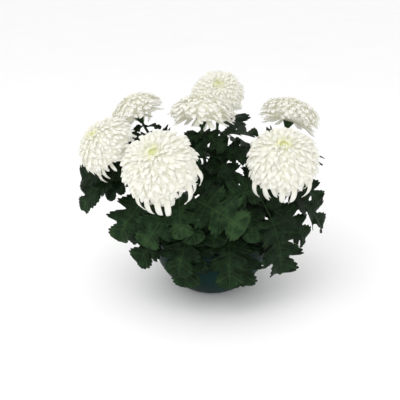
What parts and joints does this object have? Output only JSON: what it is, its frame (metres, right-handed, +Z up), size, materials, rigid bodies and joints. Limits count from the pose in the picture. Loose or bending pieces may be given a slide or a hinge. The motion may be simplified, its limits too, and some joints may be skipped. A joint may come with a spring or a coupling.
{
  "type": "potted chrysanthemum",
  "caption": "Florist's chrysanthemum with large double white blooms on leafy stems, growing from soil in a round glazed bowl pot.",
  "frame": {"origin": "middle of the underside of the pot, on the surface it stands on", "axes": "+Z up; +X to the plant's right; -Y is the side that the two biggest blooms lean towards"},
  "size_m": [0.3888, 0.3699, 0.328],
  "materials": {
    "pot": "dark blue-green gloss",
    "soil": "dark peat, matt",
    "petals": "creamy white petals, soft matt",
    "florets": "greenish yellow young florets, soft matt",
    "foliage": "dark green leaves and stems, slightly waxy"
  },
  "bodies": {
    "root": {"pot": "pot", "soil": "soil", "bloom_front_left": "petals", "bloom_front_right": "petals", "bloom_left": "petals", "bloom_back_left": "petals", "bloom_back": "petals", "bloom_middle": "petals", "bloom_right": "petals", "heart_front_left": "florets", "heart_front_right": "florets", "heart_left": "florets", "heart_back_left": "florets", "heart_back": "florets", "heart_middle": "florets", "heart_right": "florets", "stem_front_left": "foliage", "stem_front_right": "foliage", "stem_left": "foliage", "stem_back_left": "foliage", "stem_back": "foliage", "stem_middle": "foliage", "stem_right": "foliage"}
  },
  "joints": []
}
